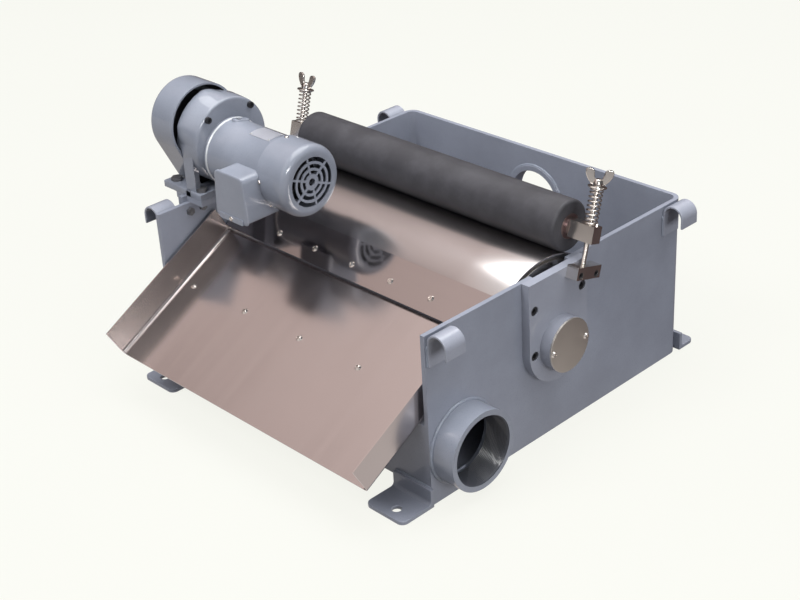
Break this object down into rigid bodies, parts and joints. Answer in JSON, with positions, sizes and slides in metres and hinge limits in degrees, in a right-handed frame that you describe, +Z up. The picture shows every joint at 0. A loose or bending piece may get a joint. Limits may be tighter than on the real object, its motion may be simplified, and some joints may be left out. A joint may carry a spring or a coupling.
{
  "type": "magnetic separator",
  "caption": "Magnetic drum separator in an open tank, with a geared motor and chain guard, a spring-loaded squeeze roller, a scraper and a sloped discharge chute.",
  "frame": {"origin": "centre of the four foot holes, at the underside of the feet", "axes": "+Z up, +X towards the outlet side, +Y towards the inlet, -Y towards the discharge chute"},
  "size_m": [0.5745, 0.6105, 0.378],
  "materials": {
    "enamel": "semi-gloss blue-grey enamel",
    "stainless": "smooth rolled stainless sheet",
    "polished_stainless": "polished stainless",
    "nickel": "bright nickel plate",
    "zinc": "zinc plate",
    "black_steel": "blackened steel",
    "rubber": "matt black rubber",
    "magnet": "pressed magnet, matt",
    "bearing_steel": "ground bearing steel"
  },
  "bodies": {
    "frame": {"tank_shell": "enamel", "tank_floor": "enamel", "front_wall": "enamel", "drum_pan": "enamel", "outlet_coupling": "enamel", "inlet_collar": "enamel", "hook_front_right": "enamel", "hook_front_left": "enamel", "hook_rear_right": "enamel", "hook_rear_left": "enamel", "foot_front_right": "enamel", "foot_front_left": "enamel", "foot_rear_right": "enamel", "foot_rear_left": "enamel", "chute": "stainless", "chute_screws": "nickel", "scraper": "stainless", "scraper_screws": "nickel", "scraper_support": "enamel", "bearing_plate": "enamel", "bearing_plate_screws": "black_steel", "right_bearing": "bearing_steel", "bearing_cap": "nickel", "cap_screws": "nickel", "left_bearing_housing": "enamel", "left_bearing": "bearing_steel", "housing_bolts": "zinc", "rod_bracket_right": "nickel", "rod_bracket_left": "nickel", "bracket_screws": "black_steel", "spring_rod_right": "nickel", "spring_rod_left": "nickel", "spring_right": "nickel", "spring_left": "nickel", "motor_mount": "enamel", "motor_mount_bolts": "zinc", "gearbox": "enamel", "gearbox_screws": "black_steel", "motor_shell": "enamel", "fan_cover": "enamel", "conduit_box": "enamel", "conduit_cover": "enamel", "chain_guard": "enamel", "chain": "black_steel"},
    "drum": {"drum_shell": "polished_stainless", "drum_ends": "polished_stainless", "drum_shaft": "bearing_steel", "magnet_core": "black_steel", "magnet_bars": "magnet", "driven_sprocket": "black_steel"},
    "output": {"drive_sprocket": "black_steel"},
    "rotor": {"motor_fan": "black_steel"},
    "carriage": {"bearing_block_right": "nickel", "bearing_block_left": "nickel"},
    "roller": {"roller_sleeve": "rubber", "roller_core": "bearing_steel"},
    "washer_right_body": {"washer_right": "nickel"},
    "washer_left_body": {"washer_left": "nickel"},
    "nut_right_body": {"wing_nut_right": "nickel"},
    "nut_left_body": {"wing_nut_left": "nickel"}
  },
  "joints": [
    {"name": "drum_spin", "type": "hinge", "parent": "frame", "child": "drum", "pos_m": [0, -0.0155, 0.1327], "axis": [1, 0, 0], "continuous": true},
    {"name": "output_spin", "type": "hinge", "parent": "frame", "child": "output", "pos_m": [-0.27, -0.133, 0.325], "axis": [1, 0, 0], "continuous": true},
    {"name": "rotor_spin", "type": "hinge", "parent": "frame", "child": "rotor", "pos_m": [-0.09, -0.118, 0.288], "axis": [1, 0, 0], "continuous": true},
    {"name": "roller_lift", "type": "slide", "parent": "frame", "child": "carriage", "axis": [0, 0.2672, 0.9636], "range_m": [0, 0.006], "stiffness_N_per_m": 2500, "springref_m": -0.012, "deforming": ["spring_right", "spring_left"]},
    {"name": "roller_spin", "type": "hinge", "parent": "carriage", "child": "roller", "pos_m": [0, 0.03213, 0.26009], "axis": [1, 0, 0], "continuous": true},
    {"name": "washer_right_slide", "type": "slide", "parent": "frame", "child": "washer_right_body", "axis": [0, 0.2672, 0.9636], "range_m": [-0.00383, 0], "deforming": ["spring_right"]},
    {"name": "wing_nut_right_turn", "type": "hinge", "parent": "washer_right_body", "child": "nut_right_body", "pos_m": [0.264, 0.04696, 0.31357], "axis": [0, 0.2672, 0.9636], "range_deg": [-1080, 0]},
    {"name": "washer_left_slide", "type": "slide", "parent": "frame", "child": "washer_left_body", "axis": [0, 0.2672, 0.9636], "range_m": [-0.00383, 0], "deforming": ["spring_left"]},
    {"name": "wing_nut_left_turn", "type": "hinge", "parent": "washer_left_body", "child": "nut_left_body", "pos_m": [-0.252, 0.04696, 0.31357], "axis": [0, 0.2672, 0.9636], "range_deg": [-1080, 0]}
  ],
  "couplings": [
    {"joint": "output_spin", "follows": "drum_spin", "ratio": 1.8667},
    {"joint": "rotor_spin", "follows": "drum_spin", "ratio": 112},
    {"joint": "roller_spin", "follows": "drum_spin", "ratio": -3.1498},
    {"joint": "washer_right_slide", "follows": "wing_nut_right_turn", "m_per_rad": 0.00020213},
    {"joint": "washer_left_slide", "follows": "wing_nut_left_turn", "m_per_rad": 0.00020213}
  ]
}
